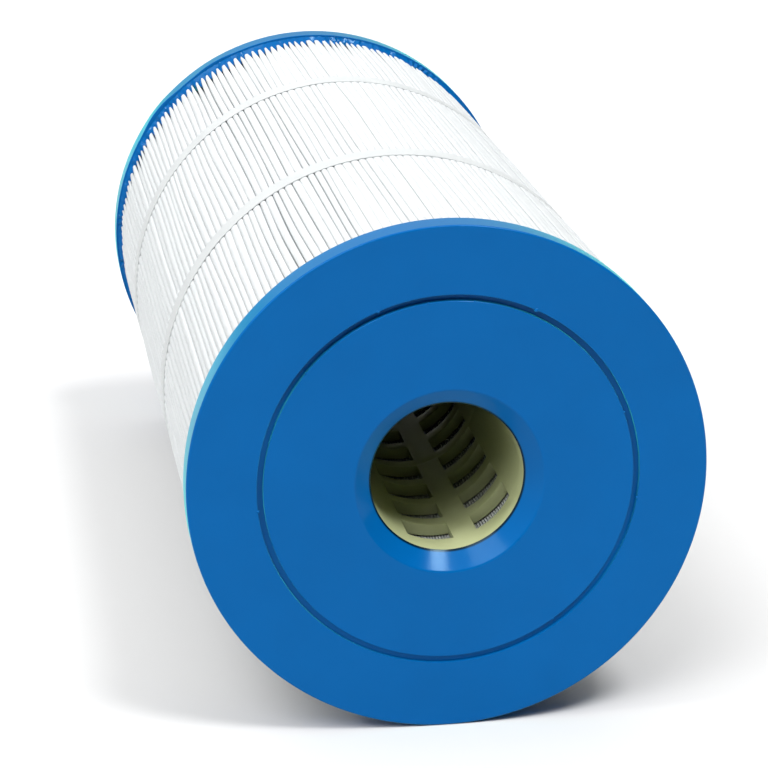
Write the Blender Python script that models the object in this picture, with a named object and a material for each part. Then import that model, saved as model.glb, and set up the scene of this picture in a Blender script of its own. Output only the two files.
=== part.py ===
"""Pleated pool filter cartridge, lying on its side with its near end towards -Y.

Each piece is drawn upright, with the cartridge's axis on Z and its middle at the
origin. The empty called cartridge lays the whole assembly down on the ground.
"""

from math import cos, pi, radians, sin

import bmesh
import bpy
from mathutils import Matrix, Vector

MM = 0.001

# Overall size. Radii of faceted pieces are measured to the flats.
LENGTH = 432 * MM
CAP_RADIUS = 108 * MM
CAP_THICKNESS = 12.6 * MM
GAP = 0.3 * MM

# Moulded end cap
CAP_SIDES = 48
CAP_WEB = 8.2 * MM
RIM_ROUND = 0.6 * MM
BORE_RADIUS = 31.5 * MM
COUNTERSINK_RADIUS = 38.7 * MM
COUNTERSINK_DEPTH = 7.6 * MM
GROOVE_INNER = 76.7 * MM
GROOVE_OUTER = 79.4 * MM
GROOVE_DEPTH = 1.5 * MM

# Perforated core, moulded in sections that plug into each other
# Its slots stand in two pairs of columns, one pair in each half of the mould. Of the ten
# sides of each half, two pairs are open, with a narrow bar between them and a wide one after.
SIDES_PER_HALF = 10
OPEN_SIDES = (0, 1, 3, 4)
CORE_SIDES = 2 * SIDES_PER_HALF
CORE_INNER = 32.2 * MM
CORE_WALL = 4.6 * MM
CORE_SECTIONS = 4
ROWS_PER_SECTION = 4
SLOT_PITCH = 25.0 * MM
SLOT_LENGTH = 17.4 * MM
CORE_TURN = 63.6
SPIGOT_LENGTH = 2.8 * MM
SPIGOT_OUTER = 34.3 * MM

# Pleated media
PLEATS = 192
PLEAT_TIP = 105.4 * MM
PLEAT_ROOT = 37.8 * MM
TIP_WIDTH = 0.9 * MM
ROOT_WIDTH = 0.6 * MM
FOLD_DEPTH = 6.0 * MM

# Seam strip, glued between the sheet's two ends
SEAM_PLEAT = 160
SEAM_THICKNESS = 1.0 * MM
SEAM_INNER = 84 * MM
SEAM_OUTER = 103 * MM

# Straps round the pleats: how far each one's middle is from the near end
BAND_PLACES = (144.6 * MM, 310.8 * MM)
BAND_WIDTH = 12.6 * MM
BAND_THICKNESS = 0.8 * MM

# The core and the pleats are cut to one length, and both stand on the caps' webs.
PACK_HALF = LENGTH / 2 - CAP_WEB - GAP


def clear_scene():
    for obj in list(bpy.data.objects):
        bpy.data.objects.remove(obj, do_unlink=True)


def make_material(name, colour, roughness):
    material = bpy.data.materials.new(name)
    material.use_nodes = True
    shader = material.node_tree.nodes["Principled BSDF"]
    shader.inputs["Base Color"].default_value = (*colour, 1.0)
    shader.inputs["Roughness"].default_value = roughness
    shader.inputs["Metallic"].default_value = 0.0
    material.diffuse_color = (*colour, 1.0)
    return material


def add_object(name, bm, material=None, parent=None, sharp_over=30):
    """Turns a bmesh into an object, shaded smooth except at its sharp edges."""
    mesh = bpy.data.meshes.new(name)
    bm.to_mesh(mesh)
    bm.free()
    mesh.shade_smooth()
    mesh.set_sharp_from_angle(angle=radians(sharp_over))
    obj = bpy.data.objects.new(name, mesh)
    bpy.context.scene.collection.objects.link(obj)
    obj.parent = parent
    if material:
        mesh.materials.append(material)
    return obj


def corner_radius(flat_radius, sides):
    return flat_radius / cos(pi / sides)


def half_step(sides):
    """Turns a ring so that a flat, not a corner, lies on each of X and Y."""
    return Matrix.Rotation(pi / sides, 3, "Z")


def turned(profile, sides):
    """A ring turned round Z from a closed outline of (radius to the flats, height)."""
    bm = bmesh.new()
    verts = [bm.verts.new((corner_radius(r, sides), 0, z)) for r, z in profile]
    edges = [bm.edges.new(pair) for pair in zip(verts, verts[1:] + verts[:1])]
    bmesh.ops.rotate(bm, verts=verts, cent=(0, 0, 0), matrix=half_step(sides))
    bmesh.ops.spin(
        bm, geom=verts + edges, cent=(0, 0, 0), axis=(0, 0, 1), angle=2 * pi, steps=sides
    )
    bmesh.ops.remove_doubles(bm, verts=bm.verts, dist=1e-7)
    bmesh.ops.recalc_face_normals(bm, faces=bm.faces)
    return bm


def end_cap(name, end, material, parent):
    """A poured cap: countersunk bore, ring groove, and a recess that holds the pack.

    end is 1 at the top and -1 at the bottom. The outline gives depths below the outer face.
    """
    recess_radius = PLEAT_TIP + 0.5 * MM
    outline = [
        (BORE_RADIUS, COUNTERSINK_DEPTH),
        (COUNTERSINK_RADIUS, 0),
        (GROOVE_INNER, 0),
        (GROOVE_INNER, GROOVE_DEPTH),
        (GROOVE_OUTER, GROOVE_DEPTH),
        (GROOVE_OUTER, 0),
        (CAP_RADIUS - RIM_ROUND, 0),
        (CAP_RADIUS, RIM_ROUND),
        (CAP_RADIUS, CAP_THICKNESS),
        (recess_radius, CAP_THICKNESS),
        (recess_radius, CAP_WEB),
        (BORE_RADIUS, CAP_WEB),
    ]
    profile = [(r, end * (LENGTH / 2 - depth)) for r, depth in outline]
    return add_object(name, turned(profile, CAP_SIDES), material, parent)


def slot_row_bottom(row):
    """Height of the lower edge of a row of slots, counted from the bottom of the core."""
    rows = CORE_SECTIONS * ROWS_PER_SECTION
    lowest = -((rows - 1) * SLOT_PITCH + SLOT_LENGTH) / 2
    return lowest + row * SLOT_PITCH


def perforated_wall(bottom, top, rows):
    """The inner face of a core section as an open sheet, with its slots left out."""
    heights = [bottom]
    for row in rows:
        low = slot_row_bottom(row)
        heights += [low, low + SLOT_LENGTH]
    heights.append(top)
    bm = bmesh.new()
    radius = corner_radius(CORE_INNER, CORE_SIDES)
    verts = [bm.verts.new((radius, 0, z)) for z in heights]
    edges = [bm.edges.new(pair) for pair in zip(verts, verts[1:])]
    bmesh.ops.spin(
        bm, geom=verts + edges, cent=(0, 0, 0), axis=(0, 0, 1), angle=2 * pi, steps=CORE_SIDES
    )
    bmesh.ops.remove_doubles(bm, verts=bm.verts, dist=1e-7)
    slots = []
    for face in bm.faces:
        middle = face.calc_center_median()
        side = round(middle.to_2d().angle_signed(Vector((1, 0))) * CORE_SIDES / (2 * pi) - 0.5)
        in_column = side % SIDES_PER_HALF in OPEN_SIDES
        in_row = any(0 < middle.z - slot_row_bottom(row) < SLOT_LENGTH for row in rows)
        if in_column and in_row:
            slots.append(face)
    bmesh.ops.delete(bm, geom=slots, context="FACES")
    inward = [f for f in bm.faces if f.normal.dot(f.calc_center_median() * Vector((1, 1, 0))) < 0]
    bmesh.ops.reverse_faces(bm, faces=inward)
    return bm


def add_cutter(name, profile, target, parent):
    """Cuts a turned ring out of target. The cutter itself is hidden."""
    bm = turned(profile, CORE_SIDES)
    bmesh.ops.rotate(bm, verts=bm.verts, cent=(0, 0, 0), matrix=half_step(CORE_SIDES).inverted())
    cutter = add_object(name, bm, parent=parent)
    cutter.hide_render = True
    cutter.display_type = "WIRE"
    boolean = target.modifiers.new(name, "BOOLEAN")
    boolean.operation = "DIFFERENCE"
    boolean.solver = "EXACT"
    boolean.object = cutter


def core_section(number, material, parent):
    """One length of core. Section 1 is at the near end, which is the top here.

    Each section's top steps in to a spigot, which sits in a socket in the next one up.
    """
    index = CORE_SECTIONS - number
    rows = range(index * ROWS_PER_SECTION, (index + 1) * ROWS_PER_SECTION)
    half_rib = (SLOT_PITCH - SLOT_LENGTH) / 2
    is_lowest = number == CORE_SECTIONS
    is_highest = number == 1
    bottom = -PACK_HALF if is_lowest else slot_row_bottom(rows[0]) - half_rib + GAP / 2
    shoulder = PACK_HALF if is_highest else slot_row_bottom(rows[-1] + 1) - half_rib - GAP / 2
    top = shoulder if is_highest else shoulder + SPIGOT_LENGTH
    name = f"core_section_{number}"
    section = add_object(name, perforated_wall(bottom, top, rows), material, parent)
    wall = section.modifiers.new("wall", "SOLIDIFY")
    wall.thickness = CORE_WALL
    wall.offset = 1
    wall.use_even_offset = True
    beyond = CORE_INNER + 2 * CORE_WALL
    within = CORE_INNER - CORE_WALL
    if not is_highest:
        outside_spigot = [
            (beyond, top + GAP),
            (beyond, shoulder),
            (SPIGOT_OUTER, shoulder),
            (SPIGOT_OUTER, top + GAP),
        ]
        add_cutter(f"{name}_shoulder_cutter", outside_spigot, section, parent)
    if not is_lowest:
        socket_top = bottom + SPIGOT_LENGTH
        inside_socket = [
            (SPIGOT_OUTER + GAP, socket_top),
            (SPIGOT_OUTER + GAP, bottom - GAP),
            (within, bottom - GAP),
            (within, socket_top),
        ]
        add_cutter(f"{name}_socket_cutter", inside_socket, section, parent)
    return section


def pleated_media(material, parent):
    """The folded sheet: a closed zigzag outline, raised over the length of the pack."""
    pitch = 2 * pi / PLEATS
    bm = bmesh.new()

    def corner(radius, pleat, sideways=0.0):
        angle = pleat * pitch + sideways / radius
        return bm.verts.new((radius * cos(angle), radius * sin(angle), -PACK_HALF))

    roots = []
    tips = []
    for pleat in range(PLEATS):
        roots.append((
            corner(PLEAT_ROOT, pleat, -ROOT_WIDTH / 2),
            corner(PLEAT_ROOT, pleat, ROOT_WIDTH / 2),
            corner(PLEAT_ROOT + FOLD_DEPTH, pleat),
        ))
        tips.append((
            corner(PLEAT_TIP, pleat + 0.5, -TIP_WIDTH / 2),
            corner(PLEAT_TIP, pleat + 0.5, TIP_WIDTH / 2),
            corner(PLEAT_TIP - FOLD_DEPTH, pleat + 0.5),
        ))
    for pleat in range(PLEATS):
        root = roots[pleat]
        tip = tips[pleat]
        next_root = roots[(pleat + 1) % PLEATS]
        bm.faces.new(root)
        bm.faces.new(tip)
        bm.faces.new((root[2], root[1], tip[2], tip[0]))
        bm.faces.new((tip[1], tip[2], next_root[0], next_root[2]))
    raised = bmesh.ops.extrude_face_region(bm, geom=bm.faces[:])["geom"]
    top = [item for item in raised if isinstance(item, bmesh.types.BMVert)]
    bmesh.ops.translate(bm, verts=top, vec=(0, 0, 2 * PACK_HALF))
    bmesh.ops.recalc_face_normals(bm, faces=bm.faces)
    return add_object("pleated_media", bm, material, parent)


def media_seam(material, parent):
    """A thin strip that fills one gap between pleats from end to end."""
    bm = bmesh.new()
    bmesh.ops.create_cube(bm, size=1)
    size = (SEAM_OUTER - SEAM_INNER, SEAM_THICKNESS, 2 * PACK_HALF)
    bmesh.ops.scale(bm, verts=bm.verts, vec=size)
    bmesh.ops.translate(bm, verts=bm.verts, vec=((SEAM_OUTER + SEAM_INNER) / 2, 0, 0))
    seam = add_object("media_seam", bm, material, parent)
    seam.rotation_euler.z = SEAM_PLEAT * 2 * pi / PLEATS
    return seam


def band(number, place, material, parent):
    """A strap pulled tight round the pleat tips."""
    inner = PLEAT_TIP + 0.4 * MM
    outer = inner + BAND_THICKNESS
    half = BAND_WIDTH / 2
    profile = [(outer, half), (outer, -half), (inner, -half), (inner, half)]
    strap = add_object(f"band_{number}", turned(profile, CAP_SIDES), material, parent)
    strap.location.z = LENGTH / 2 - place
    return strap


def main():
    clear_scene()
    cap_blue = make_material("cap_blue", (0.010, 0.145, 0.420), 0.42)
    core_cream = make_material("core_cream", (0.60, 0.58, 0.42), 0.50)
    media_white = make_material("media_white", (0.84, 0.86, 0.87), 0.85)
    strap_white = make_material("strap_white", (0.88, 0.89, 0.89), 0.70)
    seam_glue = make_material("seam_glue", (0.80, 0.79, 0.72), 0.45)

    cartridge = bpy.data.objects.new("cartridge", None)
    bpy.context.scene.collection.objects.link(cartridge)
    cartridge.location.z = CAP_RADIUS
    cartridge.rotation_euler.x = radians(90)

    # The core stands turned in the caps, so that a narrow bar is near the ground.
    core = bpy.data.objects.new("core", None)
    bpy.context.scene.collection.objects.link(core)
    core.parent = cartridge
    core.rotation_euler.z = radians(CORE_TURN)

    end_cap("near_end_cap", 1, cap_blue, cartridge)
    end_cap("far_end_cap", -1, cap_blue, cartridge)
    for number in range(1, CORE_SECTIONS + 1):
        core_section(number, core_cream, core)
    pleated_media(media_white, cartridge)
    media_seam(seam_glue, cartridge)
    for number, place in enumerate(BAND_PLACES, start=1):
        band(number, place, strap_white, cartridge)


main()
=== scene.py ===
# %% [markdown]
# # A pleated pool filter cartridge
#
# A filter cartridge is a folded sheet of white felt, closed into a ring. It stands on a slotted
# plastic core, and its two ends are cast into blue polyurethane caps. Two straps keep the folds
# from spreading. Here each piece gets its real surface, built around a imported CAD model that
# already holds every size. The cartridge lies on its side, with its axis along Y and its near
# cap towards -Y.

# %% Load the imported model
import math
import random

import bmesh
import bpy
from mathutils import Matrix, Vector, noise


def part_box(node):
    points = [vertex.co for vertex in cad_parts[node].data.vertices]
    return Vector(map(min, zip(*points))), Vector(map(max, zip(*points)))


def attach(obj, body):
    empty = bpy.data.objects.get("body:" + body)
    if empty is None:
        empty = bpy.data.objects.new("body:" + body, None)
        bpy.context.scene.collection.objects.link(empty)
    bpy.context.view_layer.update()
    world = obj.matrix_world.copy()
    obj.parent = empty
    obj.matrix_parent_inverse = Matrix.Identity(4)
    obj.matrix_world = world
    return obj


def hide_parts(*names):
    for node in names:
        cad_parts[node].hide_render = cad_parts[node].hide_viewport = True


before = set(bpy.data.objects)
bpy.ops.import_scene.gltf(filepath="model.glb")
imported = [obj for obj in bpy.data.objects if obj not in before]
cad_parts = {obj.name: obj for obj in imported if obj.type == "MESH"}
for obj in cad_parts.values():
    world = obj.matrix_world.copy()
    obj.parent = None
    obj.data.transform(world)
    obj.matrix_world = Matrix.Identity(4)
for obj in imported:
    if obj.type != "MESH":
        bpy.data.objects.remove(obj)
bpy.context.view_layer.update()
print("nodes:", ", ".join(sorted(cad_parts)))

# %% [markdown]
# ## Sizes
#
# Lengths and radii are read from the CAD boxes, so that a change there carries through. The
# sizes that a box can't show, such as the ring groove or the slots, are named here in
# millimetres, as a mould maker would write them.

# %% Name the sizes
MM = 0.001
near_low, near_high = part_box("near_end_cap")
far_low, far_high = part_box("far_end_cap")
pack_low, pack_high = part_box("pleated_media")

AXIS_HEIGHT = (near_low.z + near_high.z) / 2
CAP_RADIUS = (near_high.x - near_low.x) / 2
CAP_THICKNESS = near_high.y - near_low.y
TIP_RADIUS = (pack_high.x - pack_low.x) / 2
AXIS = Vector((0, 0, AXIS_HEIGHT))

COUNTERSINK_RADIUS = 39.3 * MM
LIP_RADIUS = 31.8 * MM
LIP_DEPTH = 6.8 * MM
POCKET_RADIUS = 35.3 * MM
GROOVE_INNER = 76.7 * MM
GROOVE_OUTER = 79.4 * MM
GROOVE_DEPTH = 2.3 * MM
CAP_WEB = 8.2 * MM
SOCKET_RADIUS = 37.5 * MM

CORE_INNER = 32.2 * MM
CORE_WALL = 4.8 * MM
CORE_SPLIT = 20
SIDES_PER_HALF = 10
OPEN_SIDES = (0, 1, 3, 4)
CORE_TURN = 63.6
SLOT_PITCH = 25.0 * MM
SLOT_LENGTH = 17.4 * MM
SPIGOT_OUTER = 34.3 * MM
JOINT_LENGTH = 2.8 * MM
COLLAR_RADIUS = 33.2 * MM
COLLAR_LENGTH = 0.8 * MM
FIT_GAP = 0.3 * MM

PLEATS = 192
ROOT_RADIUS = 37.8 * MM
PITCH_ANGLE = 2 * math.pi / PLEATS
SEAM_PLEAT = 160
print(f"cartridge {2 * CAP_RADIUS:.3f} m across and {far_high.y - near_low.y:.3f} m long")

# %% [markdown]
# ## Camera
#
# The camera stands a little to the left of the axis and looks down at the near cap. Its lens is
# long, so the far cap is only a third smaller than the near one. The direction is given as an
# azimuth and an elevation, and the distance is counted in cap radii.

# %% Place the camera
CAMERA_AZIMUTH = 9.06
CAMERA_ELEVATION = 17.58
CAMERA_FROM_NEAR_CAP = Vector((-1.802, -9.713, 3.518))
SENSOR_WIDTH = 36.0
LENS = 130.05

near_face_centre = Vector((0, near_low.y, AXIS_HEIGHT))
camera = bpy.data.objects.new("camera", bpy.data.cameras.new("camera"))
bpy.context.scene.collection.objects.link(camera)
camera.location = near_face_centre + CAMERA_FROM_NEAR_CAP * CAP_RADIUS
camera.rotation_euler = (math.radians(90 - CAMERA_ELEVATION), 0, math.radians(-CAMERA_AZIMUTH))
camera.data.sensor_width = SENSOR_WIDTH
camera.data.lens = LENS
camera.data.clip_start = 0.05
camera.data.clip_end = 50
bpy.context.scene.camera = camera
print("camera at", tuple(round(c, 3) for c in camera.location))

# %% [markdown]
# ## Helpers for modelling by hand
#
# Every operator in Blender acts on what is selected, so each helper starts from nothing
# selected. Faces and edges are then picked in code by where they are, the way a hand would
# click on them. A point's radius is its distance from the cartridge's axis.

# %% Selecting
def select_nothing():
    """Leaves edit mode and deselects every object."""
    if bpy.context.mode != "OBJECT":
        bpy.ops.object.mode_set(mode="OBJECT")
    bpy.ops.object.select_all(action="DESELECT")


def make_active(piece):
    """Selects this one object and makes it the active one."""
    select_nothing()
    piece.select_set(True)
    bpy.context.view_layer.objects.active = piece


def radius_of(point):
    """Distance of a point from the cartridge's axis."""
    return math.hypot(point.x, point.z - AXIS_HEIGHT)


def pick_faces(piece, wanted):
    """In edit mode, selects the faces for which wanted(centre, normal) is true."""
    bpy.ops.mesh.select_mode(type="FACE")
    bpy.ops.mesh.select_all(action="DESELECT")
    mesh = bmesh.from_edit_mesh(piece.data)
    for face in mesh.faces:
        face.select_set(wanted(face.calc_center_median(), face.normal))
    bmesh.update_edit_mesh(piece.data)


def pick_edges(piece, wanted):
    """In edit mode, selects the edges for which wanted is true at both ends."""
    bpy.ops.mesh.select_mode(type="EDGE")
    bpy.ops.mesh.select_all(action="DESELECT")
    mesh = bmesh.from_edit_mesh(piece.data)
    for edge in mesh.edges:
        edge.select_set(all(wanted(vert.co) for vert in edge.verts))
    bmesh.update_edit_mesh(piece.data)


print("selection helpers ready")


# %% Finishing
def apply_modifier(piece, kind, **settings):
    """Adds a modifier with these settings and applies it."""
    make_active(piece)
    modifier = piece.modifiers.new(kind.lower(), kind)
    for name, value in settings.items():
        setattr(modifier, name, value)
    bpy.ops.object.modifier_apply(modifier=modifier.name)


def set_in_place(piece, name):
    """Moves the object's place into its mesh, and names both."""
    make_active(piece)
    bpy.ops.object.transform_apply(location=True, rotation=True, scale=True)
    piece.name = name
    piece.data.name = name


def smooth(piece, sharp_over=30):
    """Smooth shading, except over edges sharper than this many degrees."""
    make_active(piece)
    bpy.ops.object.shade_smooth_by_angle(angle=math.radians(sharp_over))


def hand_over(piece, material, slot, *nodes):
    """Gives a finished piece its material and the root, and hides the CAD nodes it stands for."""
    piece.data.materials.clear()
    piece.data.materials.append(material)
    for face in piece.data.polygons:
        face.material_index = 0
    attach(piece, "root")
    if nodes:
        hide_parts(*nodes)
    print(f"{piece.name}: {len(piece.data.polygons)} faces")


print("finishing helpers ready")

# %% [markdown]
# ## Shared surface effects
#
# Cast urethane, moulded plastic and felt all have a surface that isn't quite even. That
# unevenness is built once as two node groups. "mottle" gives a colour that drifts a little and
# a roughness that drifts with it. "fibres" gives the height of short crossed threads, which a
# Bump node in each material turns into a felt or a woven surface.

# %% Node helpers
def feed(tree, node, inputs):
    """Links each input that is given a socket, and sets each that is given a value."""
    for name, value in inputs.items():
        if isinstance(value, bpy.types.NodeSocket):
            tree.links.new(value, node.inputs[name])
        else:
            node.inputs[name].default_value = value


def add_node(tree, kind, inputs, **settings):
    """Adds a node, sets its properties and feeds its inputs."""
    node = tree.nodes.new(kind)
    for name, value in settings.items():
        setattr(node, name, value)
    feed(tree, node, inputs)
    return node


def remap(tree, value, start, end, low, high):
    """Takes start..end to low..high, and keeps what lies outside at the ends."""
    inputs = {"Value": value, "From Min": start, "From Max": end, "To Min": low, "To Max": high}
    return add_node(tree, "ShaderNodeMapRange", inputs).outputs["Result"]


def combine(tree, operation, first, second):
    """A Math node on two values."""
    node = add_node(tree, "ShaderNodeMath", {0: first, 1: second}, operation=operation)
    return node.outputs["Value"]


def mix_colours(tree, mask, colour, other):
    """The first colour where the mask is 0, and the other where it is 1."""
    inputs = {"Factor": mask, "A": colour, "B": other}
    return add_node(tree, "ShaderNodeMix", inputs, data_type="RGBA").outputs["Result"]


print("node helpers ready")


# %% Node groups
def new_group(name, inputs, outputs):
    """An empty shader node group with these sockets, and its input and output nodes."""
    group = bpy.data.node_groups.new(name, "ShaderNodeTree")
    for label, kind, value in inputs:
        socket = group.interface.new_socket(name=label, in_out="INPUT", socket_type=kind)
        socket.default_value = value
    for label, kind in outputs:
        group.interface.new_socket(name=label, in_out="OUTPUT", socket_type=kind)
    given = group.nodes.new("NodeGroupInput").outputs
    return group, given, group.nodes.new("NodeGroupOutput")


def mottle_group():
    """A colour and a roughness that drift over the surface together."""
    group, given, out = new_group(
        "mottle",
        [
            ("Vector", "NodeSocketVector", (0, 0, 0)),
            ("Light", "NodeSocketColor", (0.8, 0.8, 0.8, 1)),
            ("Dark", "NodeSocketColor", (0.6, 0.6, 0.6, 1)),
            ("Scale", "NodeSocketFloat", 20.0),
            ("Roughness Low", "NodeSocketFloat", 0.4),
            ("Roughness High", "NodeSocketFloat", 0.5),
        ],
        [("Color", "NodeSocketColor"), ("Roughness", "NodeSocketFloat")],
    )
    inputs = {"Vector": given["Vector"], "Scale": given["Scale"], "Detail": 6.0, "Roughness": 0.65}
    cloud = add_node(group, "ShaderNodeTexNoise", inputs).outputs["Fac"]
    mask = remap(group, cloud, 0.3, 0.7, 0, 1)
    rough = remap(group, cloud, 0.3, 0.7, given["Roughness Low"], given["Roughness High"])
    colour = mix_colours(group, mask, given["Dark"], given["Light"])
    feed(group, out, {"Color": colour, "Roughness": rough})
    return group


def fibres_group():
    """Height of short threads that cross each other at three angles."""
    group, given, out = new_group(
        "fibres",
        [
            ("Vector", "NodeSocketVector", (0, 0, 0)),
            ("Scale", "NodeSocketFloat", 900.0),
            ("Stretch", "NodeSocketVector", (1, 0.12, 1)),
        ],
        [("Height", "NodeSocketFloat")],
    )
    heights = []
    for turn in (0.0, 55.0, -50.0):
        inputs = {"Vector": given["Vector"], "Angle": math.radians(turn)}
        turned = add_node(group, "ShaderNodeVectorRotate", inputs, rotation_type="X_AXIS")
        inputs = {0: turned.outputs["Vector"], 1: given["Stretch"]}
        stretched = add_node(group, "ShaderNodeVectorMath", inputs, operation="MULTIPLY")
        inputs = {"Vector": stretched.outputs["Vector"], "Scale": given["Scale"], "Detail": 2.0}
        heights.append(add_node(group, "ShaderNodeTexNoise", inputs).outputs["Fac"])
    highest = combine(group, "MAXIMUM", combine(group, "MAXIMUM", *heights[:2]), heights[2])
    feed(group, out, {"Height": highest})
    return group


MOTTLE = mottle_group()
FIBRES = fibres_group()
print("node groups:", MOTTLE.name, FIBRES.name)

# %% [markdown]
# ## Materials
#
# Each material places the groups with its own values. The Principled shader, and the settings
# that are the same all over, stay in the material itself. Every texture reads the piece's own
# Object coordinates, which are in metres here, so a pattern keeps its size on every piece.

# %% Material helpers
def new_material(name, specular):
    """A node material, its shader, and the piece's own coordinates."""
    material = bpy.data.materials.new(name)
    material.use_nodes = True
    tree = material.node_tree
    shader = tree.nodes["Principled BSDF"]
    feed(tree, shader, {"Metallic": 0.0, "Specular IOR Level": specular})
    return material, tree, shader, tree.nodes.new("ShaderNodeTexCoord").outputs["Object"]


def place_group(tree, group, place, **values):
    """Places a node group in a material, reading the piece's own coordinates."""
    node = tree.nodes.new("ShaderNodeGroup")
    node.node_tree = group
    inputs = {label.replace("_", " "): value for label, value in values.items()}
    feed(tree, node, {"Vector": place, **inputs})
    return node.outputs


def noise_height(tree, place, scale, detail=3.0):
    """Height of a plain noise at one scale."""
    inputs = {"Vector": place, "Scale": scale, "Detail": detail}
    return add_node(tree, "ShaderNodeTexNoise", inputs).outputs["Fac"]


def add_bump(tree, shader, height, strength, distance, below=None):
    """A Bump node, on top of another one's normal if given, which feeds the shader's normal."""
    inputs = {"Height": height, "Strength": strength, "Distance": distance}
    if below:
        inputs["Normal"] = below
    normal = add_node(tree, "ShaderNodeBump", inputs).outputs["Normal"]
    feed(tree, shader, {"Normal": normal})
    return normal


def axis_distance(tree, place):
    """Distance from the cartridge's axis."""
    centred = add_node(tree, "ShaderNodeVectorMath", {0: place, 1: AXIS}, operation="SUBTRACT")
    inputs = {0: centred.outputs["Vector"], 1: (1, 0, 1)}
    across = add_node(tree, "ShaderNodeVectorMath", inputs, operation="MULTIPLY")
    inputs = {0: across.outputs["Vector"]}
    return add_node(tree, "ShaderNodeVectorMath", inputs, operation="LENGTH").outputs["Value"]


print("material helpers ready")

# %% [markdown]
# The caps are cast polyurethane, a blue rubber. One flat colour would look like paint: a real
# casting has faint swirls and a rim duller than its face. A dark line of painted shade goes
# round the bore's lip. The distance from the axis tells rim, face and lip apart, so one material
# does all three. A little green sheen brightens the rims where light grazes them.

# %% Cast blue urethane
RIM_ROUGHNESS = 0.17
RIM_EDGE = (CAP_RADIUS - 0.6 * MM, CAP_RADIUS - 0.1 * MM)
# Painted shade: a thin ring just outside the bore's lip is coloured near-black blue to stand for
# shadow.
LIP_SHADE_SPAN = (LIP_RADIUS + 0.65 * MM, LIP_RADIUS + 1.05 * MM)
LIP_PAINTED_SHADE_BLUE = (0.0002, 0.012, 0.030, 1)


def cast_urethane():
    """Poured polyurethane: faint swirls, glossy faces, a duller rim, and painted shade at the lip.
    """
    material, tree, shader, place = new_material("cast_urethane", specular=0.15)
    mottle = place_group(
        tree, MOTTLE, place,
        Light=(0.0003, 0.105, 0.35, 1), Dark=(0.0002, 0.097, 0.325, 1),
        Scale=26.0, Roughness_Low=0.14, Roughness_High=0.20,
    )
    radius = axis_distance(tree, place)
    # Painted shade: 1 in the ring round the lip, where the colour turns dark for shadow.
    in_lip_shade = remap(tree, radius, *LIP_SHADE_SPAN, 1, 0)
    duller = remap(tree, radius, *RIM_EDGE, 0, RIM_ROUGHNESS)
    feed(tree, shader, {
        "Base Color": mix_colours(tree, in_lip_shade, mottle["Color"], LIP_PAINTED_SHADE_BLUE),
        "Roughness": combine(tree, "ADD", mottle["Roughness"], duller),
        "Specular Tint": (0.5, 0.8, 1.0, 1),
        "Sheen Weight": 0.7,
        "Sheen Roughness": 0.3,
        "Sheen Tint": (0.1, 1.0, 0.8, 1),
    })
    wave = add_bump(tree, shader, noise_height(tree, place, 30.0), 0.25, 0.6 * MM)
    add_bump(tree, shader, noise_height(tree, place, 900.0, 2.0), 0.10, 0.1 * MM, wave)
    return material


URETHANE = cast_urethane()
print("material:", URETHANE.name)

# %% [markdown]
# The core is moulded in a cream plastic. It shows only inside the bore, in its own shade, so a
# drifting colour and a fine spark-eroded grain are all it needs.

# %% Moulded cream plastic
def moulded_plastic():
    """Core plastic: cream, with a fine spark-eroded mould texture."""
    material, tree, shader, place = new_material("moulded_plastic", specular=0.45)
    mottle = place_group(
        tree, MOTTLE, place,
        Light=(0.46, 0.49, 0.27, 1), Dark=(0.40, 0.43, 0.225, 1),
        Scale=60.0, Roughness_Low=0.42, Roughness_High=0.55,
    )
    feed(tree, shader, {"Base Color": mottle["Color"], "Roughness": mottle["Roughness"]})
    add_bump(tree, shader, noise_height(tree, place, 1500.0, 2.0), 0.2, 0.1 * MM)
    return material


PLASTIC = moulded_plastic()
print("material:", PLASTIC.name)

# %% [markdown]
# The sheet is spunbonded polyester, a thin felt of crossed fibres that lets some light through.
# Subsurface scattering gives it that glow, and two bumps give it fibres and patches. Near the
# far cap the flanks of the pleats are painted a very dark blue: the urethane that creeps up
# between the pleats, darkened with painted shade deep in the gaps. That colour has no
# thickness, so it is a mask in this material: below the tips, and close to the cap.

# %% Spunbonded felt
# Painted shade: felt flanks below the tips near the far cap turn near-black blue, for urethane and
# shadow.
SOAK_AND_SHADE_DEPTH = (TIP_RADIUS - 0.5 * MM, TIP_RADIUS - 1.1 * MM)
SOAK_AND_SHADE_REACH = (far_low.y - 30 * MM, far_low.y - 14 * MM)
SOAK_AND_SHADE_BLUE = (0.001, 0.016, 0.050, 1)


def soak_and_shade_mask(tree, place):
    """1 on the flanks of the pleats near the far cap, and 0 on their tips and everywhere else."""
    along = add_node(tree, "ShaderNodeSeparateXYZ", {"Vector": place}).outputs["Y"]
    deep = remap(tree, axis_distance(tree, place), *SOAK_AND_SHADE_DEPTH, 0, 1)
    return combine(tree, "MULTIPLY", deep, remap(tree, along, *SOAK_AND_SHADE_REACH, 0, 1))


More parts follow.
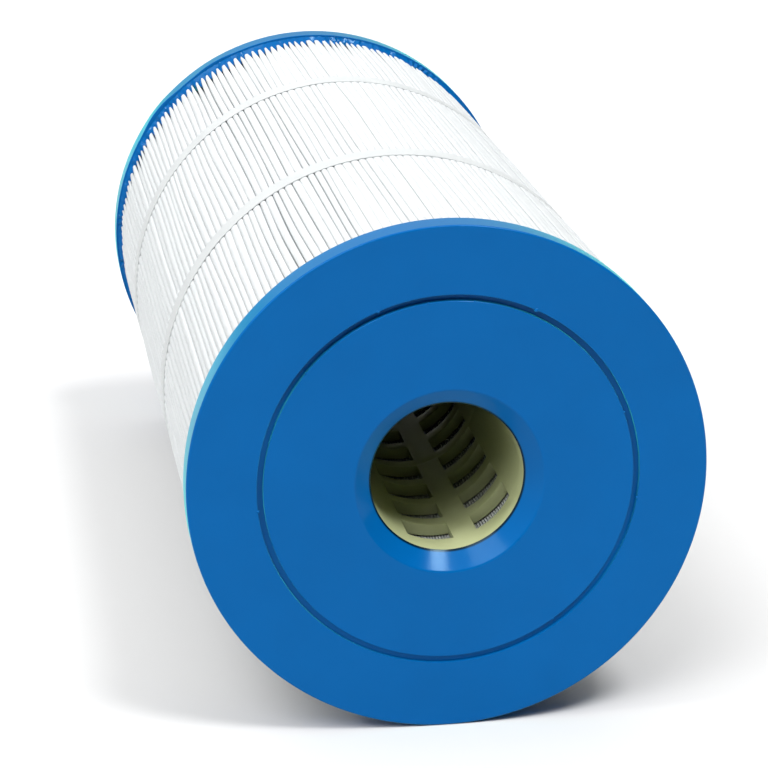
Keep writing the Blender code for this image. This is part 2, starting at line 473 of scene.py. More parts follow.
def spunbond_felt():
    """Polyester felt: white, crossed fibres, and near the far cap urethane darkened with painted
    shade.
    """
    material, tree, shader, place = new_material("spunbond_felt", specular=0.2)
    mottle = place_group(
        tree, MOTTLE, place,
        Light=(0.54, 0.56, 0.565, 1), Dark=(0.51, 0.53, 0.54, 1),
        Scale=140.0, Roughness_Low=0.80, Roughness_High=0.92,
    )
    # Painted shade: the mask darkens the gaps near the far cap, over the blue of the urethane.
    feed(tree, shader, {
        "Base Color": mix_colours(tree, soak_and_shade_mask(tree, place), mottle["Color"], SOAK_AND_SHADE_BLUE),
        "Roughness": mottle["Roughness"],
        "Subsurface Weight": 0.5,
        "Subsurface Radius": (1.0, 1.0, 1.0),
        "Subsurface Scale": 2 * MM,
    })
    fibres = place_group(tree, FIBRES, place, Scale=1500.0)
    patches = add_bump(tree, shader, noise_height(tree, place, 220.0), 0.25, 0.3 * MM)
    add_bump(tree, shader, fibres["Height"], 0.45, 0.25 * MM, patches)
    return material


FELT = spunbond_felt()
print("material:", FELT.name)

# %% [markdown]
# The straps are woven from the same polyester. A Wave texture gives the ribs of the weave, and
# the fibres group breaks them up, which is far cheaper than modelling threads.

# %% Woven strap
def woven_strap():
    """Woven polyester: ribs across the strap, broken up by fibres."""
    material, tree, shader, place = new_material("woven_strap", specular=0.35)
    mottle = place_group(
        tree, MOTTLE, place,
        Light=(0.54, 0.56, 0.56, 1), Dark=(0.51, 0.53, 0.535, 1),
        Scale=90.0, Roughness_Low=0.50, Roughness_High=0.75,
    )
    feed(tree, shader, {"Base Color": mottle["Color"], "Roughness": mottle["Roughness"]})
    inputs = {"Vector": place, "Scale": 420.0, "Distortion": 0.6}
    ribs = add_node(tree, "ShaderNodeTexWave", inputs, bands_direction="Y")
    fibres = place_group(tree, FIBRES, place, Scale=1400.0)
    ribbed = add_bump(tree, shader, ribs.outputs["Fac"], 0.35, 0.2 * MM)
    add_bump(tree, shader, fibres["Height"], 0.3, 0.2 * MM, ribbed)
    return material


STRAP = woven_strap()
print("material:", STRAP.name)

# %% [markdown]
# The seam is a strip of hot-melt glue, milky and a little shiny. Its bump is coarse, for lumps.

# %% Seam glue
def seam_glue():
    """Set hot-melt glue: milky and a little shiny, with lumps."""
    material, tree, shader, place = new_material("seam_glue", specular=0.5)
    mottle = place_group(
        tree, MOTTLE, place,
        Light=(0.66, 0.64, 0.57, 1), Dark=(0.58, 0.56, 0.48, 1),
        Scale=80.0, Roughness_Low=0.28, Roughness_High=0.45,
    )
    feed(tree, shader, {"Base Color": mottle["Color"], "Roughness": mottle["Roughness"]})
    add_bump(tree, shader, noise_height(tree, place, 160.0), 0.5, 0.8 * MM)
    return material


GLUE = seam_glue()
print("material:", GLUE.name)

# %% [markdown]
# ## End caps
#
# The caps are poured into a mould with the pleats and the core standing in it. A mould leaves
# flat faces, a ring groove, a countersunk bore and slightly rounded edges. The cap starts as a
# cylinder lying on the axis. Insets draw the circles on its face, an extrusion sinks the
# groove, and an inset with depth makes the countersink. The inside gets a socket for the core,
# and the two open ends of the bore are bridged. Bevels round the edges last. Weighted normals
# keep the flat faces flat in the light, so a lamp is mirrored as a clean streak.

# %% Steps in modelling a cap
CAP_SIDES = 256
GROOVE_TILT = math.radians(0.6)
SOCKET_TAPER = 0.05 * MM
ON_FACE = 0.1 * MM
ON_CIRCLE = 0.06 * MM


def cap_blank(outer_y, inward):
    """A disc as thick as the cap. inward is 1 or -1, towards the pack along Y."""
    select_nothing()
    bpy.ops.mesh.primitive_cylinder_add(
        vertices=CAP_SIDES, radius=CAP_RADIUS, depth=CAP_THICKNESS,
        location=(0, outer_y + inward * CAP_THICKNESS / 2, AXIS_HEIGHT),
        rotation=(math.radians(90), 0, 0),
    )
    return bpy.context.object


def draw_face_circles(cap, outer_y):
    """Insets the outer face at the groove, and again with depth for the countersink."""
    pick_faces(cap, lambda c, n: abs(c.y - outer_y) < ON_FACE)
    bpy.ops.mesh.inset(thickness=CAP_RADIUS - GROOVE_OUTER)
    bpy.ops.mesh.inset(thickness=GROOVE_OUTER - GROOVE_INNER)
    bpy.ops.mesh.inset(thickness=GROOVE_INNER - COUNTERSINK_RADIUS)
    bpy.ops.mesh.inset(thickness=COUNTERSINK_RADIUS - LIP_RADIUS, depth=-LIP_DEPTH)
    bpy.ops.mesh.delete(type="FACE")


def sink_socket(cap, inner_y):
    """The core's socket in the inner face, left open in the middle."""
    pick_faces(cap, lambda c, n: abs(c.y - inner_y) < ON_FACE)
    bpy.ops.mesh.inset(thickness=CAP_RADIUS - SOCKET_RADIUS)
    bpy.ops.mesh.inset(thickness=SOCKET_TAPER, depth=CAP_WEB - CAP_THICKNESS)
    bpy.ops.mesh.inset(thickness=SOCKET_RADIUS - SOCKET_TAPER - POCKET_RADIUS)
    bpy.ops.mesh.delete(type="FACE")


def join_bore(cap, outer_y):
    """Bridges the countersink's lip to the socket's floor, which leaves a pocket behind the lip."""
    pick_edges(cap, lambda p: radius_of(p) < POCKET_RADIUS + ON_FACE and abs(p.y - outer_y) > MM)
    bpy.ops.mesh.bridge_edge_loops()


def cut_groove(cap, outer_y, inward):
    """Sinks the narrow ring between the two groove circles."""
    middle = (GROOVE_INNER + GROOVE_OUTER) / 2
    floor_y = outer_y + inward * GROOVE_DEPTH
    pick_faces(cap, lambda c, n: abs(c.y - outer_y) < ON_FACE and abs(radius_of(c) - middle) < MM)
    bpy.ops.mesh.extrude_region_move(
        TRANSFORM_OT_translate={"value": (0, inward * GROOVE_DEPTH, 0)}
    )
    bpy.ops.transform.rotate(
        value=GROOVE_TILT, orient_axis="X", center_override=(0, floor_y, AXIS_HEIGHT)
    )


def round_edges(cap, radius, y, width, segments=3):
    """Bevels the circle of edges at this radius and place."""
    pick_edges(cap, lambda p: abs(radius_of(p) - radius) < ON_CIRCLE and abs(p.y - y) < ON_FACE)
    bpy.ops.mesh.bevel(offset=width, segments=segments, affect="EDGES")


print("a cap is", round(CAP_THICKNESS / MM, 1), "mm thick")


# %% Model both caps
def model_cap(name, outer_y, inward):
    """One whole cap, from the blank to its shading."""
    cap = cap_blank(outer_y, inward)
    set_in_place(cap, name)
    inner_y = outer_y + inward * CAP_THICKNESS
    bpy.ops.object.mode_set(mode="EDIT")
    draw_face_circles(cap, outer_y)
    sink_socket(cap, inner_y)
    join_bore(cap, outer_y)
    cut_groove(cap, outer_y, inward)
    round_edges(cap, CAP_RADIUS, outer_y, width=0.9 * MM)
    round_edges(cap, CAP_RADIUS, inner_y, width=0.5 * MM)
    round_edges(cap, GROOVE_OUTER, outer_y, width=0.15 * MM, segments=2)
    round_edges(cap, GROOVE_INNER, outer_y, width=0.30 * MM)
    round_edges(cap, COUNTERSINK_RADIUS, outer_y, width=0.6 * MM)
    round_edges(cap, LIP_RADIUS, outer_y + inward * LIP_DEPTH, width=0.25 * MM, segments=2)
    bpy.ops.object.mode_set(mode="OBJECT")
    smooth(cap)
    apply_modifier(cap, "WEIGHTED_NORMAL", keep_sharp=True)
    return cap


near_cap = model_cap("near_cap_cast", near_low.y, 1)
far_cap = model_cap("far_cap_cast", far_high.y, -1)
print("caps:", len(near_cap.data.polygons), "faces each")

# %% [markdown]
# The far mould was filled a little unevenly, so its rim swells in two places at the upper left.
# Sculpting can't be repeated exactly, but a move with proportional editing can: a few edges of
# the rim go outwards, and what is near them follows.

# %% Swell the far rim
SWELL_CORE = 4 * MM


def swell(cap, angle, y, amount, reach):
    """Pulls one spot of the rim outwards, with the rim round it following."""
    around = math.radians(angle)
    spot = Vector((CAP_RADIUS * math.cos(around), y, AXIS_HEIGHT + CAP_RADIUS * math.sin(around)))
    make_active(cap)
    bpy.ops.object.mode_set(mode="EDIT")
    pick_edges(cap, lambda p: (p - spot).length < SWELL_CORE)
    bpy.ops.transform.translate(
        value=(amount * math.cos(around), 0, amount * math.sin(around)),
        use_proportional_edit=True, proportional_edit_falloff="SMOOTH", proportional_size=reach,
    )
    bpy.ops.object.mode_set(mode="OBJECT")


swell(far_cap, angle=140, y=far_low.y, amount=1.1 * MM, reach=16 * MM)
swell(far_cap, angle=119, y=far_low.y, amount=0.6 * MM, reach=13 * MM)
print("far rim swollen in two places")

# %% [markdown]
# Air that is trapped under the mould's ring leaves small pips along the groove. Each pip is a
# small ball, pressed flat and sunk into the groove's edge, and joined to the cap.

# %% Add the pips in the groove
# Angle in degrees and radius in millimetres of each pip.
PIPS = (
    (20, 0.5), (64, 0.9), (83, 0.4), (97, 0.5), (112, 0.7),
    (140, 0.5), (186, 0.6), (305, 0.4), (352, 0.6),
)
LARGE_PIP = 0.55
PIP_SINK = 0.2 * MM


def add_pips(cap, outer_y, inward, turn):
    """Large pips sit on the outer edge, small ones on the inner. turn makes the two caps differ."""
    pips = []
    for angle, size in PIPS:
        around = math.radians(angle + turn)
        at = GROOVE_OUTER if size > LARGE_PIP else GROOVE_INNER
        x = at * math.cos(around)
        z = AXIS_HEIGHT + at * math.sin(around)
        select_nothing()
        bpy.ops.mesh.primitive_ico_sphere_add(
            subdivisions=2, radius=size * MM, location=(x, outer_y + inward * PIP_SINK, z)
        )
        pip = bpy.context.object
        bpy.ops.transform.resize(value=(1.15, 0.75, 0.95))
        bpy.ops.object.shade_smooth()
        pips.append(pip)
    make_active(cap)
    for pip in pips:
        pip.select_set(True)
    bpy.ops.object.join()


add_pips(near_cap, near_low.y, 1, 0)
add_pips(far_cap, far_high.y, -1, 130)
print("caps with pips:", len(near_cap.data.polygons), "faces each")

# %% [markdown]
# ## Core
#
# The core is a thick tube with rows of rectangular slots and solid bars between the columns.
# It is moulded in four sections. A Boolean for each slot would be slow and leave a messy mesh.
# Instead each section starts as a bare cylinder wall, is cut into rows by bisecting, and loses
# the faces where its slots are. Solidify gives the wall its thickness. One Boolean with a
# stepped plug shapes the ends that plug together, and a Bevel takes off the sharpness.

# %% Read where each section lies
FACETS_PER_SIDE = 6
CORE_SIDES = CORE_SPLIT * FACETS_PER_SIDE
PLUG_RADIUS = CORE_INNER + 2 * CORE_WALL
SLOT_ROUNDING = 0.3 * MM
SECTIONS = 4
ROWS_PER_SECTION = 4
SIDE_ANGLE = 2 * math.pi / CORE_SPLIT
# Angle at which one column of slots begins, counted from +X towards +Z.
SLOT_START = math.radians(CORE_TURN)
# A cylinder's first corner stands straight up. The turn brings one onto the slots' edges.
CORE_ROTATION = (math.radians(90), (math.pi / 2 - SLOT_START) % (2 * math.pi / CORE_SIDES), 0)


def slot_row_start(row):
    """Y of the near edge of a row of slots, counted from the near end."""
    rows = SECTIONS * ROWS_PER_SECTION
    return -((rows - 1) * SLOT_PITCH + SLOT_LENGTH) / 2 + row * SLOT_PITCH


def in_slot(point, rows):
    """Whether a point on the wall lies where a slot goes."""
    around = math.atan2(point.z - AXIS_HEIGHT, point.x) - SLOT_START
    in_column = math.floor(around / SIDE_ANGLE) % SIDES_PER_HALF in OPEN_SIDES
    return in_column and any(0 < point.y - slot_row_start(row) < SLOT_LENGTH for row in rows)


print("slot rows:", SECTIONS * ROWS_PER_SECTION, "in two pairs of columns")


# %% Cut a wall and shape its plug
def tube_wall(low, high):
    """A bare cylinder wall on the axis, from low to high along Y."""
    select_nothing()
    bpy.ops.mesh.primitive_cylinder_add(
        vertices=CORE_SIDES, radius=CORE_INNER, depth=high - low, end_fill_type="NOTHING",
        location=(0, (low + high) / 2, AXIS_HEIGHT), rotation=CORE_ROTATION,
    )
    return bpy.context.object


def cut_slots(wall, rows):
    """Bisects the wall at each slot's two edges, and deletes the faces in the slots."""
    bpy.ops.object.mode_set(mode="EDIT")
    for row in rows:
        for y in (slot_row_start(row), slot_row_start(row) + SLOT_LENGTH):
            bpy.ops.mesh.select_all(action="SELECT")
            bpy.ops.mesh.bisect(plane_co=(0, y, 0), plane_no=(0, 1, 0))
    pick_faces(wall, lambda c, n: in_slot(c, rows))
    bpy.ops.mesh.delete(type="FACE")
    bpy.ops.object.mode_set(mode="OBJECT")


def step_end(plug, sign, radius, travel):
    """Insets the plug's end that faces sign along Y to a radius, and moves that face along Y."""
    pick_faces(plug, lambda c, n: n.y * sign > 0.99)
    bpy.ops.mesh.inset(thickness=PLUG_RADIUS - radius)
    bpy.ops.mesh.extrude_region_move(TRANSFORM_OT_translate={"value": (0, travel, 0)})


def stepped_plug(low, high, number):
    """A solid that the section has to stay inside. It gives each end its collar or its joint."""
    is_first, is_last = number == 1, number == SECTIONS
    body_low = low if is_first else low + JOINT_LENGTH
    select_nothing()
    bpy.ops.mesh.primitive_cylinder_add(
        vertices=CORE_SIDES, radius=PLUG_RADIUS, depth=high - body_low,
        location=(0, (body_low + high) / 2, AXIS_HEIGHT), rotation=CORE_ROTATION,
    )
    plug = bpy.context.object
    set_in_place(plug, "plug")
    bpy.ops.object.mode_set(mode="EDIT")
    if is_first:
        step_end(plug, -1, COLLAR_RADIUS, -2 * COLLAR_LENGTH)
    else:
        step_end(plug, -1, SPIGOT_OUTER, -JOINT_LENGTH - FIT_GAP)
    if is_last:
        step_end(plug, 1, COLLAR_RADIUS, 2 * COLLAR_LENGTH)
    else:
        step_end(plug, 1, SPIGOT_OUTER + FIT_GAP, -JOINT_LENGTH)
    bpy.ops.object.mode_set(mode="OBJECT")
    return plug


print("plug radius", round(PLUG_RADIUS / MM, 1), "mm")


# %% Model the sections
def model_section(number):
    """Section 1 is the near one. Its far end is a socket, and each later one has a spigot."""
    low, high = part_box(f"core_section_{number}")
    rows = range((number - 1) * ROWS_PER_SECTION, number * ROWS_PER_SECTION)
    wall_low = low.y - COLLAR_LENGTH if number == 1 else low.y
    wall_high = high.y + COLLAR_LENGTH if number == SECTIONS else high.y
    wall = tube_wall(wall_low, wall_high)
    set_in_place(wall, f"core_moulded_{number}")
    cut_slots(wall, rows)
    apply_modifier(wall, "SOLIDIFY", thickness=CORE_WALL, offset=1.0, use_even_offset=True)
    plug = stepped_plug(low.y, high.y, number)
    apply_modifier(wall, "BOOLEAN", operation="INTERSECT", object=plug, solver="EXACT")
    bpy.data.objects.remove(plug)
    apply_modifier(
        wall, "BEVEL", width=SLOT_ROUNDING, segments=2, limit_method="ANGLE",
        angle_limit=math.radians(40),
    )
    smooth(wall, 35)
    return wall


for number in range(1, SECTIONS + 1):
    section = model_section(number)
    hand_over(section, PLASTIC, "core", f"core_section_{number}")

# %% [markdown]
# ## Pleated sheet
#
# The sheet is about 26 metres long and is folded to and fro between the core and the outside.
# A real pleat isn't a sharp V. Its tip is a plump round fold that nearly touches its
# neighbours. Where a strap or a cap holds the tips, the gap between two pleats opens like a V.
# A cloth simulation of 192 touching pleats would take too long, so the sheet is drawn by
# formula: one closed outline across the cartridge, repeated at places along Y that crowd
# together where the gaps change.

# %% Where along Y the sheet is measured
BAND_NODES = ("band_1", "band_2")
band_spans = sorted((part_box(name)[0].y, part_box(name)[1].y) for name in BAND_NODES)
near_plane = near_high.y
far_plane = far_low.y
# Distances in millimetres from a cap's inner face, and from a strap's edge.
STEPS_FROM_CAP = (1.5, 3.5, 6, 9, 13, 18, 24)
STEPS_FROM_STRAP = (2, 4.5, 8, 13)


def stations():
    """Places along Y: close together beside caps and straps, wide apart between."""
    places = [pack_low.y, near_plane, far_plane, pack_high.y]
    for step in STEPS_FROM_CAP:
        places += [near_plane + step * MM, far_plane - step * MM]
    for low, high in band_spans:
        places += [low, high]
        for step in STEPS_FROM_STRAP:
            places += [low - step * MM, high + step * MM]
    last_step = STEPS_FROM_CAP[-1] * MM
    strap_edges = [y for span in band_spans for y in span]
    bay_ends = [near_plane + last_step] + strap_edges + [far_plane - last_step]
    for low, high in zip(bay_ends[0::2], bay_ends[1::2]):
        for share in (0.3, 0.5, 0.7):
            places.append(low + share * (high - low))
    return sorted(places)


STATIONS = stations()
print(len(STATIONS), "stations along the sheet")


# %% [markdown]
# No two gaps between pleats are alike. Each draws its own width and reach from a seeded random
# generator, for each cap and each side of each strap, and the widest opening at a place counts.
# Smooth noise adds a slow sideways wander.

# %% Draw each gap's width and reach
rng = random.Random(11)
NEAR_REACHES = (4, 5, 6, 7, 8, 9)
FAR_REACHES = (13, 15, 17, 19, 21, 23, 25, 29, 34, 42)


def wicked_gap(reaches):
    """Width and reach of a gap that opens like a V at a cap."""
    return rng.uniform(1.8, 2.6) * MM, rng.choice(reaches) * MM


GAP_AT_CAP = [wicked_gap(NEAR_REACHES) for _ in range(PLEATS)]
GAP_AT_CAP += [wicked_gap(FAR_REACHES) for _ in range(PLEATS)]
GAP_AT_BAND = [(rng.uniform(0.15, 0.55) * MM, rng.uniform(3, 8) * MM) for _ in range(4 * PLEATS)]
TIP_SHORTFALL = [rng.uniform(0.0, 0.6) * MM for _ in range(PLEATS)]
print("gaps at the far cap reach", min(FAR_REACHES), "to", max(FAR_REACHES), "mm")

# %% How wide each gap is
CLOSED_GAP = 0.03 * MM
SEAM_GAP = 2.2 * MM
# A group of pleats left of the top has come loose: its middle, its half width and its gap.
LOOSE_AT = math.radians(122)
LOOSE_SPREAD = math.radians(9)
LOOSE_GAP = 0.8 * MM
# Shares of the pitch that a gap drifts and jitters sideways.
DRIFT = 0.5
JITTER = 0.22


def opened(distance, most, reach):
    """A gap that is widest at its holder and closes evenly over its reach."""
    return most * max(0.0, 1.0 - max(distance, 0.0) / reach)


def cap_gap(pleat, y):
    """How far the caps hold this gap open here."""
    near = opened(y - near_plane, *GAP_AT_CAP[pleat % PLEATS])
    return max(near, opened(far_plane - y, *GAP_AT_CAP[pleat % PLEATS + PLEATS]))


def band_gap(pleat, y):
    """How far the straps hold this gap open here, by pinching the tips."""
    width = 0.0
    for number, (low, high) in enumerate(band_spans):
        near_side = GAP_AT_BAND[pleat % PLEATS + 2 * number * PLEATS]
        far_side = GAP_AT_BAND[pleat % PLEATS + (2 * number + 1) * PLEATS]
        width = max(width, opened(low - y if y < low else 0.0, *near_side) if y <= high else 0.0)
        width = max(width, opened(y - high if y > high else 0.0, *far_side) if y >= low else 0.0)
    return width


def gap_width(pleat, y):
    """Width at the tips of the gap in front of this pleat."""
    pleat = pleat % PLEATS
    if pleat == SEAM_PLEAT:
        return SEAM_GAP
    wave = noise.noise(Vector((0.31 * pleat, 3.0 * y, 3.3)))
    uneven = noise.noise(Vector((1.7 * pleat, 6.0 * y, 8.1)))
    loose = math.exp(-(((pleat * PITCH_ANGLE - LOOSE_AT) / LOOSE_SPREAD) ** 2))
    at_rest = CLOSED_GAP + LOOSE_GAP * (max(0.0, wave - 0.15) + loose * max(0.0, 0.4 + uneven))
    return max(at_rest, cap_gap(pleat, y), band_gap(pleat, y))


print(f"the gap at the seam is {SEAM_GAP / MM:.1f} mm wide")


# %% How deep each gap is, and where the tips stand
SEAM_GAP_DEPTH = 22 * MM
# How many times deeper than wide a gap opens.
FLARE = 3
TIP_CROWN = 0.6 * MM
TIP_BULGE = 0.6 * MM
BULGE_SQUARENESS = 0.35
PRESSED_IN = 0.35 * MM
FREE_LENGTH = 10 * MM


def crown(pleat):
    """How round this pleat's tip is. They are packed tighter, and flatter, on the right."""
    return TIP_CROWN * (0.75 - 0.45 * math.cos(pleat * PITCH_ANGLE))


def gap_depth(pleat, y):
    """How deep the gap stays open before the two pleats touch."""
    if pleat % PLEATS == SEAM_PLEAT:
        return SEAM_GAP_DEPTH
    slack = gap_width(pleat, y) - CLOSED_GAP
    return crown(pleat) + 0.1 * MM + FLARE * slack + FLARE * cap_gap(pleat, y)


def gap_angle(pleat, y):
    """Angle of the gap in front of this pleat: even spacing, with a slow sideways wander."""
    pleat = pleat % PLEATS
    around = pleat * PITCH_ANGLE
    drift = noise.noise(Vector((9 * math.cos(around), 9 * math.sin(around), 7 * y)))
    jitter = noise.noise(Vector((60 * math.cos(around), 60 * math.sin(around), 5 * y + 40)))
    calm = 0.0 if abs(pleat - SEAM_PLEAT) < 2 else 1.0
    return around + calm * PITCH_ANGLE * (DRIFT * drift + JITTER * jitter)


def bulge(y):
    """How far the tips stand out between their holders, and how far the straps press them in."""
    ends = [near_plane] + [y for span in band_spans for y in span] + [far_plane]
    for low, high in zip(ends[0::2], ends[1::2]):
        if low < y < high:
            return TIP_BULGE * math.sin(math.pi * (y - low) / (high - low)) ** BULGE_SQUARENESS
    return -PRESSED_IN if near_plane < y < far_plane else 0.0


def free_share(y):
    """0 under a strap, where all tips touch it, and 1 from a little way off."""
    away = min(max(low - y, y - high, 0.0) for low, high in band_spans)
    return min(away / FREE_LENGTH, 1.0)


print(f"tips stand out {bulge(0) / MM:.1f} mm midway")


# %% Outline of one pleat
ROOT_CROWN = 0.2 * MM
FOLD_DEPTH = 6 * MM
ROOT_HALF_WIDTH = 0.47 * MM
TIP_ARC = [math.radians(a) for a in (-90, -45, 0, 45, 90)]


def ring_point(radius, angle, y):
    """A point at this radius and angle round the cartridge's axis."""
    return (radius * math.cos(angle), y, AXIS_HEIGHT + radius * math.sin(angle))


def pleat_outline(pleat, y):
    """The outer points of one pleat, from the crotch before it over its tip, and the inner ones."""
    before, after = gap_angle(pleat, y), gap_angle(pleat + 1, y)
    if after < before:
        after += 2 * math.pi
    left = before + gap_width(pleat, y) / 2 / TIP_RADIUS
    right = after - gap_width(pleat + 1, y) / 2 / TIP_RADIUS
    middle, half = (left + right) / 2, (right - left) / 2
    top = TIP_RADIUS - TIP_SHORTFALL[pleat] * free_share(y) + bulge(y)
    outer = [ring_point(ROOT_RADIUS + FOLD_DEPTH, pleat * PITCH_ANGLE, y)]
    flank = top - gap_depth(pleat, y)
    outer.append(ring_point(flank, before + CLOSED_GAP / 2 / flank, y))
    for turn in TIP_ARC:
        height = top - crown(pleat) * (1 - math.cos(turn))
        outer.append(ring_point(height, middle + half * math.sin(turn), y))
    flank = top - gap_depth(pleat + 1, y)
    outer.append(ring_point(flank, after - CLOSED_GAP / 2 / flank, y))
    root = pleat * PITCH_ANGLE
    sideways = ROOT_HALF_WIDTH / ROOT_RADIUS
    inner = [
        ring_point(ROOT_RADIUS + ROOT_CROWN, root - sideways, y),
        ring_point(ROOT_RADIUS, root, y),
        ring_point(ROOT_RADIUS + ROOT_CROWN, root + sideways, y),
        ring_point(top - FOLD_DEPTH, middle, y),
    ]
    return outer, inner


OUTER_POINTS = len(pleat_outline(0, 0)[0])
POINTS = OUTER_POINTS + len(pleat_outline(0, 0)[1])
print("one pleat has", POINTS, "points across")


# %% Join the outlines into one sheet
def folded_sheet():
    """The whole sheet as one closed mesh: an outer and an inner skin, joined at both ends."""
    points, faces = [], []
    across = POINTS * PLEATS
    for y in STATIONS:
        for pleat in range(PLEATS):
            outer, inner = pleat_outline(pleat, y)
            points += outer + inner
    for ring in range(len(STATIONS) - 1):
        base, above = ring * across, (ring + 1) * across
        for pleat in range(PLEATS):
            first, following = POINTS * pleat, POINTS * ((pleat + 1) % PLEATS)
            skin = [first + i for i in range(OUTER_POINTS)] + [following]
            lining = [first + i for i in range(OUTER_POINTS, POINTS)] + [following + OUTER_POINTS]
            for a, b in zip(skin, skin[1:]):
                faces.append((base + a, base + b, above + b, above + a))
            for a, b in zip(lining, lining[1:]):
                faces.append((base + b, base + a, above + a, above + b))
    for base, flip in ((0, True), ((len(STATIONS) - 1) * across, False)):
        for pleat in range(PLEATS):
            c, n = base + POINTS * pleat, base + POINTS * ((pleat + 1) % PLEATS)
            root, fold, next_root = c + OUTER_POINTS, c + POINTS - 1, n + OUTER_POINTS
            ends = [
                (c, root + 2, root + 1),
                (c, root + 1, root),
                (c, c + 1, fold, root + 2),
                (c + 1, c + 2, c + 3, fold),
                (c + 3, c + 4, fold),
                (c + 4, c + 5, fold),
                (c + 5, c + 6, c + 7, fold),
                (c + 7, n, next_root, fold),
            ]
            faces += [tuple(reversed(f)) for f in ends] if flip else ends
    mesh = bpy.data.meshes.new("pleated_sheet")
    mesh.from_pydata(points, [], faces)
    mesh.update()
    sheet = bpy.data.objects.new("pleated_sheet", mesh)
    bpy.context.scene.collection.objects.link(sheet)
    return sheet


sheet = folded_sheet()
make_active(sheet)
bpy.ops.object.mode_set(mode="EDIT")
bpy.ops.mesh.select_all(action="SELECT")
bpy.ops.mesh.normals_make_consistent(inside=False)
bpy.ops.object.mode_set(mode="OBJECT")
smooth(sheet, 50)
hand_over(sheet, FELT, "media", "pleated_media")

# %% [markdown]
# ## Urethane between the pleats
#
# While a cap is poured, liquid urethane creeps up between the pleats. It sets as a low skirt
# round the tips, with a tooth in each gap. Each skirt starts as a bare cylinder wall with three
# rows of points and two corners for each pleat: one in the gap, the other on the pleat. The
# first row stays in the cap. The others follow the gaps, each with its own random height.
# Solidify makes the wall thick, and the skirt is joined to its cap.

# %% Where the skirts' points go
SKIRT_TOP = 107.0 * MM
SKIRT_WALL = 0.3 * MM
ROOTED = 0.2 * MM
# How far rows 1 and 2 stand below the tips in a gap, and above them on a pleat.
GAP_SINKS = (0.9 * MM, 2.2 * MM)
TIP_RISES = (0.35 * MM, -2.5 * MM)


def skirt_point(corner, row, plane, inward, height):
    """Where a corner of the wall goes: even ones in a gap, odd ones on a pleat. height: 0 to 1."""
    pleat = corner // 2
    if row == 0:
        around = (pleat + corner % 2 / 2) * PITCH_ANGLE
        return ring_point(SKIRT_TOP, around, plane - inward * ROOTED)
    if corner % 2 == 0:
        reach = GAP_AT_CAP[pleat % PLEATS + (0 if inward > 0 else PLEATS)][1]
        away = (0.4 + 0.8 * height) * MM if row == 1 else 0.3 * reach
        y = plane + inward * away
        return ring_point(TIP_RADIUS - GAP_SINKS[row - 1], gap_angle(pleat, y), y)
    away = (1.0 + 1.8 * height) * MM + (row - 1) * 0.5 * MM
    y = plane + inward * away
    middle = (gap_angle(pleat, y) + gap_angle(pleat + 1, y)) / 2
    if pleat == PLEATS - 1:
        middle += math.pi
    return ring_point(TIP_RADIUS + TIP_RISES[row - 1], middle, y)


print("skirts have", 2 * PLEATS, "corners each")


# %% Model the skirts
def model_skirt(cap, plane, inward):
    """A skirt at one cap's inner face, joined to the cap."""
    select_nothing()
    bpy.ops.mesh.primitive_cylinder_add(
        vertices=2 * PLEATS, radius=TIP_RADIUS, depth=2 * MM, end_fill_type="NOTHING",
        location=(0, plane + inward * MM, AXIS_HEIGHT), rotation=(math.radians(90), 0, 0),
    )
    skirt = bpy.context.object
    set_in_place(skirt, cap.name + "_skirt")
    bpy.ops.object.mode_set(mode="EDIT")
    bpy.ops.mesh.select_all(action="SELECT")
    bpy.ops.mesh.bisect(plane_co=(0, plane + inward * MM, 0), plane_no=(0, 1, 0))
    bpy.ops.object.mode_set(mode="OBJECT")
    heights = [rng.random() for _ in range(2 * PLEATS)]
    for vert in skirt.data.vertices:
        around = math.atan2(vert.co.z - AXIS_HEIGHT, vert.co.x)
        corner = round(around / (PITCH_ANGLE / 2)) % (2 * PLEATS)
        row = round(abs(vert.co.y - plane) / MM)
        vert.co = skirt_point(corner, row, plane, inward, heights[corner])
    apply_modifier(skirt, "SOLIDIFY", thickness=SKIRT_WALL, offset=0.0)
    smooth(skirt, 60)
    make_active(cap)
    skirt.select_set(True)
    bpy.ops.object.join()


model_skirt(near_cap, near_plane, 1)
model_skirt(far_cap, far_plane, -1)
hand_over(near_cap, URETHANE, "end_cap", "near_end_cap")
hand_over(far_cap, URETHANE, "end_cap", "far_end_cap")

# %% [markdown]
# ## Straps
#
# Each strap is a ribbon pulled tight round the tips and glued to them. A plain ring would look
# too stiff, so it is a bare cylinder with two corners for each pleat, every second one drawn
# in between two tips. Noise makes it uneven, and Solidify gives it its thickness.

# %% Model the straps
STRAP_SIDES = 2 * PLEATS
STRAP_THICKNESS = 0.55 * MM
STRAP_DIP = 0.12 * MM
STRAP_WAVINESS = 0.10 * MM
# Where the strap is cut across, as shares of its width.
STRAP_CUTS = (0.06, 0.5, 0.94)


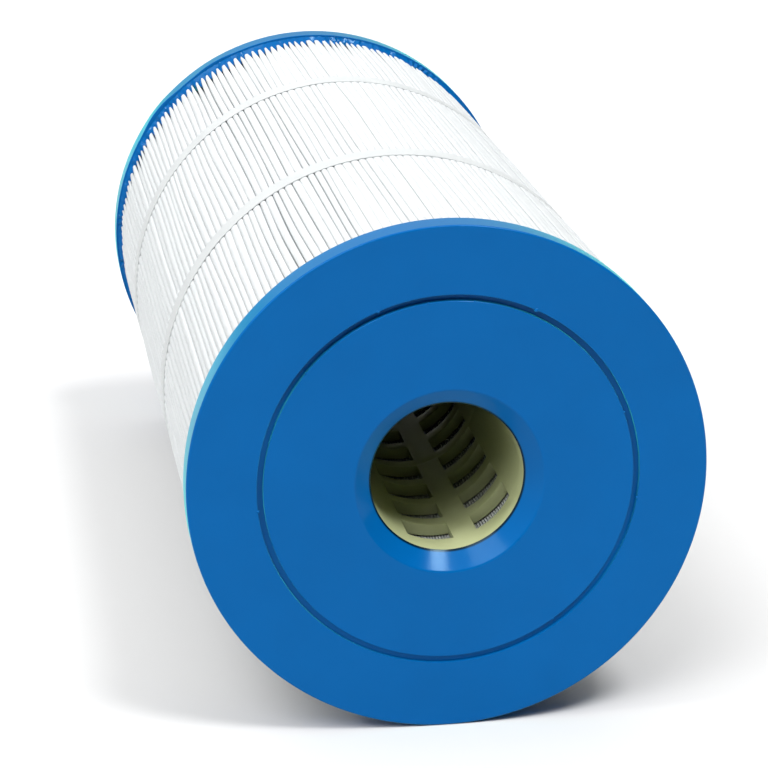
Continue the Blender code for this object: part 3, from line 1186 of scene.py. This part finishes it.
def model_strap(name, node, low, high):
    """One strap between two places along Y, wrapped round the pleat tips."""
    select_nothing()
    bpy.ops.mesh.primitive_cylinder_add(
        vertices=STRAP_SIDES, radius=TIP_RADIUS - PRESSED_IN, depth=high - low,
        end_fill_type="NOTHING",
        location=(0, (low + high) / 2, AXIS_HEIGHT), rotation=(math.radians(90), 0, 0),
    )
    strap = bpy.context.object
    set_in_place(strap, name)
    bpy.ops.object.mode_set(mode="EDIT")
    for share in STRAP_CUTS:
        bpy.ops.mesh.select_all(action="SELECT")
        bpy.ops.mesh.bisect(plane_co=(0, low + share * (high - low), 0), plane_no=(0, 1, 0))
    bpy.ops.object.mode_set(mode="OBJECT")
    for vert in strap.data.vertices:
        around = math.atan2(vert.co.z - AXIS_HEIGHT, vert.co.x)
        between_tips = round(around / (2 * math.pi / STRAP_SIDES)) % 2 == 0
        radius = radius_of(vert.co) - (STRAP_DIP if between_tips else 0.0)
        at = Vector((vert.co.x * 90, vert.co.y * 300, vert.co.z * 90))
        radius += STRAP_WAVINESS * noise.noise(at)
        vert.co = ring_point(radius, around, vert.co.y)
    apply_modifier(strap, "SOLIDIFY", thickness=STRAP_THICKNESS, offset=1.0, use_even_offset=True)
    apply_modifier(
        strap, "BEVEL", width=0.2 * MM, segments=2, limit_method="ANGLE",
        angle_limit=math.radians(60),
    )
    smooth(strap, 40)
    hand_over(strap, STRAP, "band", node)


for node in BAND_NODES:
    low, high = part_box(node)
    model_strap(node.replace("band", "strap"), node, low.y, high.y)

# %% [markdown]
# ## Seam
#
# The folded sheet is closed into a ring by a strip of hot-melt glue between its first and last
# pleats. It lies in a gap, hardly in sight, and the CAD strip already has the right shape and
# size, so it only gets its material.

# %% Finish the CAD strip
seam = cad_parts["media_seam"]
for slot in seam.material_slots:
    slot.material = GLUE
print("seam:", len(seam.data.polygons), "faces")

# %% [markdown]
# ## Floor and light
#
# The cartridge lies on a plain pale floor, bright enough to run into the background. Area
# lamps would light that floor unevenly, so every lamp and bright wall is a sun, whose angle
# says how wide its source looks. The ceiling and the left wall light the pleats softly. The
# softbox leaves a streak in the countersink, the strip brightens the left rims, the backdrop
# fills from behind, and the front panel shines a short way into the bore.

# %% Lay the floor
FLOOR_SIZE = 12
FLOOR_GREY = 0.63
SURROUND_STRENGTH = 0.03

select_nothing()
bpy.ops.mesh.primitive_plane_add(size=FLOOR_SIZE)
floor = bpy.context.object
floor.name = "floor"
floor_paint, tree, shader, _ = new_material("floor_paint", specular=0.0)
feed(tree, shader, {"Base Color": (FLOOR_GREY, FLOOR_GREY, FLOOR_GREY, 1), "Roughness": 1.0})
floor.data.materials.append(floor_paint)

world = bpy.data.worlds.new("surround")
world.use_nodes = True
background = world.node_tree.nodes["Background"]
feed(world.node_tree, background, {"Color": (1, 1, 1, 1), "Strength": SURROUND_STRENGTH})
bpy.context.scene.world = world
bpy.context.scene.view_settings.view_transform = "Standard"
print("floor", FLOOR_SIZE, "m square")

# %% Light the studio
# Each sun's name, the direction it stands in, its width in degrees, and its strength.
SUNS = (
    ("softbox", (0.30, -0.37, 0.88), 15, 0.60),
    ("ceiling", (0, 0.05, 1), 80, 0.67),
    ("left_wall", (-0.80, -0.10, 0.55), 80, 0.38),
    ("left_strip", (-0.80, -0.15, 0.58), 6, 0.12),
    ("backdrop", (0.10, 0.85, 0.45), 60, 0.15),
    ("front_panel", (-0.38, -0.54, 0.76), 30, 0.42),
)


def soft_sun(name, towards, spread, strength):
    """Even light from one direction. A strength of 1 lights a white surface facing it fully."""
    sun = bpy.data.objects.new(name, bpy.data.lights.new(name, "SUN"))
    bpy.context.scene.collection.objects.link(sun)
    sun.data.angle = math.radians(spread)
    sun.data.energy = math.pi * strength
    sun.rotation_euler = Vector(towards).to_track_quat("Z", "Y").to_euler()


for sun in SUNS:
    soft_sun(*sun)
print("suns:", ", ".join(sun[0] for sun in SUNS))
